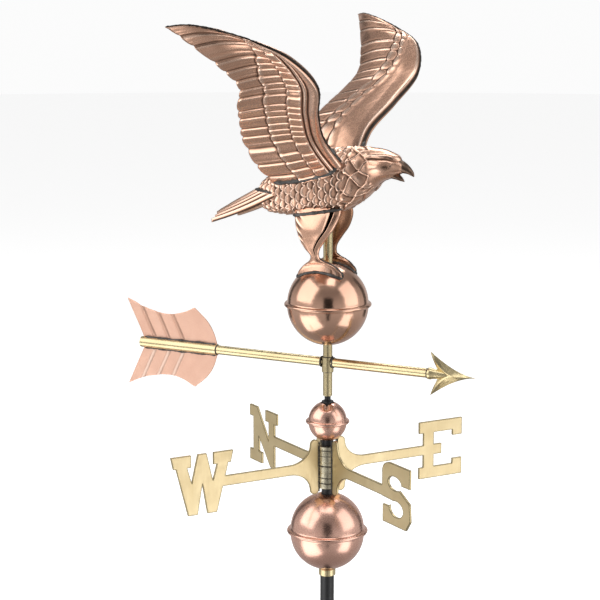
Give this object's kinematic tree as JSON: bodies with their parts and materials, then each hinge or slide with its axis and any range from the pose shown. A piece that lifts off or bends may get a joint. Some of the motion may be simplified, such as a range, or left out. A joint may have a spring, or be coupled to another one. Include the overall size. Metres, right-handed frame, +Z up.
{
  "type": "weather vane",
  "caption": "Eagle weather vane: copper eagle on a ball over a brass arrow, turning freely on a rod above four cardinal letters and two copper balls.",
  "frame": {"origin": "centre of the rod's foot, where it enters a roof mount or post socket", "axes": "+Z up the rod, which is the vane's turning axis; +X where the arrow and the eagle's beak point at rest; +Y to the eagle's left"},
  "size_m": [0.5366, 0.529, 0.9622],
  "materials": {
    "black_steel": "satin black",
    "bright_steel": "satin",
    "bush_plastic": "plain nylon",
    "tube_brass": "polished",
    "letter_brass": "brushed",
    "pale_copper": "matt pale copper",
    "ball_copper": "polished copper",
    "bright_copper": "mirror polished copper",
    "bird_copper": "polished stamped copper",
    "solder": "dull grey solder"
  },
  "bodies": {
    "mast": {"pole": "black_steel", "upper_rod": "black_steel", "spindle": "black_steel", "thrust_ball": "bright_steel", "rod_collar": "tube_brass", "collar_screw": "bright_steel", "lower_ball_bottom": "ball_copper", "lower_ball_top": "ball_copper", "hub_ring_lower": "tube_brass", "hub_ring_upper": "tube_brass", "hub_screws": "bright_steel", "arm_north": "letter_brass", "arm_east": "letter_brass", "arm_south": "letter_brass", "arm_west": "letter_brass", "small_ball_bottom": "ball_copper", "small_ball_top": "ball_copper"},
    "vane": {"vane_tube": "tube_brass", "tube_plug": "tube_brass", "lower_bush": "bush_plastic", "upper_bush": "bush_plastic", "arrow_cross": "tube_brass", "arrow_shaft_front": "tube_brass", "arrow_shaft_rear": "tube_brass", "arrowhead": "tube_brass", "fletch_sleeve": "tube_brass", "fletch_upper": "pale_copper", "fletch_lower": "pale_copper", "big_ball_bottom": "bright_copper", "big_ball_top": "bright_copper", "eagle_body_left": "bird_copper", "eagle_body_right": "bird_copper", "wing_left_back": "bird_copper", "wing_left_front": "bird_copper", "wing_right_back": "bird_copper", "wing_right_front": "bird_copper", "tail_upper": "bird_copper", "tail_lower": "bird_copper", "leg_left_outer": "bird_copper", "leg_left_inner": "bird_copper", "leg_right_outer": "bird_copper", "leg_right_inner": "bird_copper"}
  },
  "joints": [
    {"name": "vane_spin", "type": "hinge", "parent": "mast", "child": "vane", "pos_m": [0, 0, 0.62], "axis": [0, 0, 1], "continuous": true}
  ]
}
